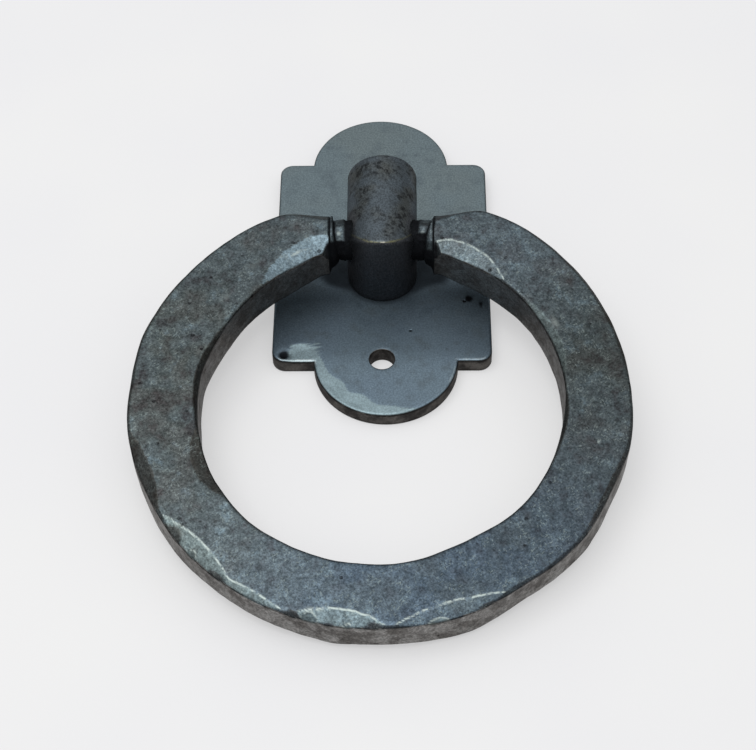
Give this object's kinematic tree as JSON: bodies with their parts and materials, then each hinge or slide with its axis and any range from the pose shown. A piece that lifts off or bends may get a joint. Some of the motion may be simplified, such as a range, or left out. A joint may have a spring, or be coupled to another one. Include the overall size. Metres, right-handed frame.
{
  "type": "door knocker",
  "caption": "Forged ring knocker: a hammered ring swings from an L-shaped round post fixed to a flat backplate with round lobes.",
  "frame": {"origin": "centre of the backplate's back face, on the plane of the door", "axes": "+Z out of the door, +Y towards the top of the plate, +X to the right of someone facing the door"},
  "size_m": [0.1076, 0.1495, 0.0243],
  "materials": {
    "plate_steel": "hot-rolled, blue-grey mill scale under wax",
    "post_steel": "black bar, mottled scale under wax",
    "ring_steel": "hammered, dark scale with rubbed bright bevels"
  },
  "bodies": {
    "mount": {"backplate": "plate_steel", "stem": "post_steel", "head": "post_steel"},
    "ring": {"ring": "ring_steel"}
  },
  "joints": [
    {"name": "ring_swing", "type": "hinge", "parent": "mount", "child": "ring", "pos_m": [0, -0.0053, 0.0163], "axis": [-1, 0, 0], "range_deg": [0, 190]}
  ]
}
